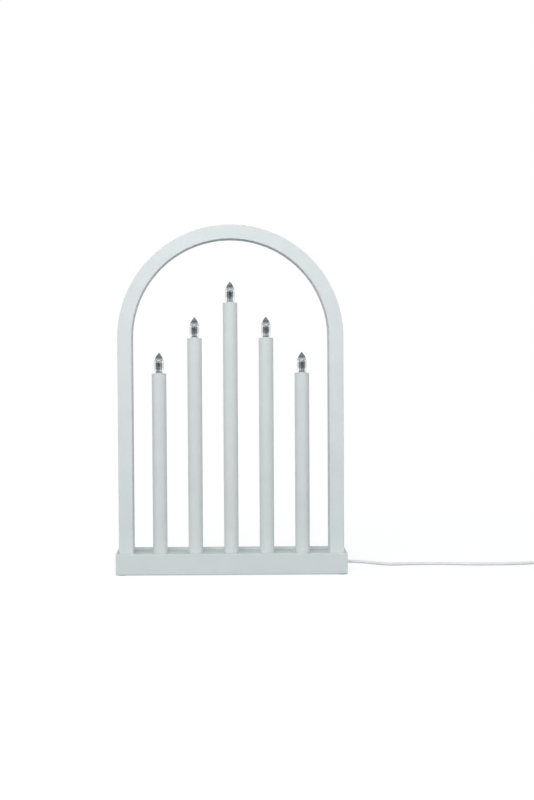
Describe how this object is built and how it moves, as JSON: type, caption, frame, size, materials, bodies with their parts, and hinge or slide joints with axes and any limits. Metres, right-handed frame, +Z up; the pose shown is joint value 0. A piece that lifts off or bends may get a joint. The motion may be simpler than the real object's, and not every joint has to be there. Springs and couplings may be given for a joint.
{
  "type": "candle arch",
  "caption": "Electric candle arch: a round-topped bar on a low tray plinth frames a stepped row of candle tubes with screw-in pointed lamps, and a mains cord with a plug.",
  "frame": {"origin": "on the table, under the middle of the plinth", "axes": "+Z up, +X along the plinth towards the end where the cord leaves, -Y towards the viewer"},
  "size_m": [0.697, 0.0707, 0.423],
  "materials": {
    "plinth_paint": "satin white paint",
    "arch_paint": "satin white paint",
    "pad_rubber": "matte",
    "cover_board": "bare hardboard",
    "dowel_wood": "bare beech",
    "screw_steel": "zinc plated",
    "candle_plastic": "satin",
    "holder_plastic": "matte",
    "socket_brass": "bare",
    "cap_metal": "nickel plated",
    "lamp_clear": "clear",
    "stem_plastic": "matte",
    "wire_pvc": "satin",
    "block_nylon": "translucent nylon",
    "clamp_plastic": "matte",
    "cord_pvc": "satin",
    "tie_plastic": "matte",
    "plug_pvc": "fine texture",
    "pin_metal": "nickel plated"
  },
  "bodies": {
    "stand": {"plinth": "plinth_paint", "foot_pads": "pad_rubber", "bottom_cover": "cover_board", "bottom_cover_screws": "screw_steel", "arch_frame": "arch_paint", "arch_dowels": "dowel_wood", "arch_screws": "screw_steel", "candle_tube_1": "candle_plastic", "lampholder_1": "holder_plastic", "socket_shell_1": "socket_brass", "candle_tube_2": "candle_plastic", "lampholder_2": "holder_plastic", "socket_shell_2": "socket_brass", "candle_tube_3": "candle_plastic", "lampholder_3": "holder_plastic", "socket_shell_3": "socket_brass", "candle_tube_4": "candle_plastic", "lampholder_4": "holder_plastic", "socket_shell_4": "socket_brass", "candle_tube_5": "candle_plastic", "lampholder_5": "holder_plastic", "socket_shell_5": "socket_brass", "socket_contacts": "socket_brass", "series_wires": "wire_pvc", "terminal_block": "block_nylon", "terminal_screws": "screw_steel", "mains_cord_inside": "cord_pvc", "cord_clamp": "clamp_plastic", "cord_clamp_screws": "screw_steel", "cord_grommet": "clamp_plastic", "mains_cord": "cord_pvc", "cord_coil": "cord_pvc", "cord_tail": "cord_pvc", "cord_tie": "tie_plastic", "plug_body": "plug_pvc", "plug_pins": "pin_metal"},
    "bulb_1_foot": {"bulb_1_contact": "cap_metal"},
    "bulb_1": {"bulb_1_envelope": "lamp_clear", "bulb_1_stem": "stem_plastic", "bulb_1_cap": "cap_metal"},
    "bulb_2_foot": {"bulb_2_contact": "cap_metal"},
    "bulb_2": {"bulb_2_envelope": "lamp_clear", "bulb_2_stem": "stem_plastic", "bulb_2_cap": "cap_metal"},
    "bulb_3_foot": {"bulb_3_contact": "cap_metal"},
    "bulb_3": {"bulb_3_envelope": "lamp_clear", "bulb_3_stem": "stem_plastic", "bulb_3_cap": "cap_metal"},
    "bulb_4_foot": {"bulb_4_contact": "cap_metal"},
    "bulb_4": {"bulb_4_envelope": "lamp_clear", "bulb_4_stem": "stem_plastic", "bulb_4_cap": "cap_metal"},
    "bulb_5_foot": {"bulb_5_contact": "cap_metal"},
    "bulb_5": {"bulb_5_envelope": "lamp_clear", "bulb_5_stem": "stem_plastic", "bulb_5_cap": "cap_metal"}
  },
  "joints": [
    {"name": "bulb_1_rise", "type": "slide", "parent": "stand", "child": "bulb_1_foot", "axis": [0, 0, 1], "range_m": [0, 0.00816]},
    {"name": "bulb_1_turn", "type": "hinge", "parent": "bulb_1_foot", "child": "bulb_1", "pos_m": [-0.0872, 0, 0.243], "axis": [0, 0, 1], "range_deg": [0, 1625]},
    {"name": "bulb_2_rise", "type": "slide", "parent": "stand", "child": "bulb_2_foot", "axis": [0, 0, 1], "range_m": [0, 0.00816]},
    {"name": "bulb_2_turn", "type": "hinge", "parent": "bulb_2_foot", "child": "bulb_2", "pos_m": [-0.0436, 0, 0.286], "axis": [0, 0, 1], "range_deg": [0, 1625]},
    {"name": "bulb_3_rise", "type": "slide", "parent": "stand", "child": "bulb_3_foot", "axis": [0, 0, 1], "range_m": [0, 0.00816]},
    {"name": "bulb_3_turn", "type": "hinge", "parent": "bulb_3_foot", "child": "bulb_3", "pos_m": [0, 0, 0.329], "axis": [0, 0, 1], "range_deg": [0, 1625]},
    {"name": "bulb_4_rise", "type": "slide", "parent": "stand", "child": "bulb_4_foot", "axis": [0, 0, 1], "range_m": [0, 0.00816]},
    {"name": "bulb_4_turn", "type": "hinge", "parent": "bulb_4_foot", "child": "bulb_4", "pos_m": [0.0436, 0, 0.286], "axis": [0, 0, 1], "range_deg": [0, 1625]},
    {"name": "bulb_5_rise", "type": "slide", "parent": "stand", "child": "bulb_5_foot", "axis": [0, 0, 1], "range_m": [0, 0.00816]},
    {"name": "bulb_5_turn", "type": "hinge", "parent": "bulb_5_foot", "child": "bulb_5", "pos_m": [0.0872, 0, 0.243], "axis": [0, 0, 1], "range_deg": [0, 1625]}
  ],
  "couplings": [
    {"joint": "bulb_1_turn", "follows": "bulb_1_rise", "rad_per_m": 3463.7},
    {"joint": "bulb_2_turn", "follows": "bulb_2_rise", "rad_per_m": 3463.7},
    {"joint": "bulb_3_turn", "follows": "bulb_3_rise", "rad_per_m": 3463.7},
    {"joint": "bulb_4_turn", "follows": "bulb_4_rise", "rad_per_m": 3463.7},
    {"joint": "bulb_5_turn", "follows": "bulb_5_rise", "rad_per_m": 3463.7}
  ]
}
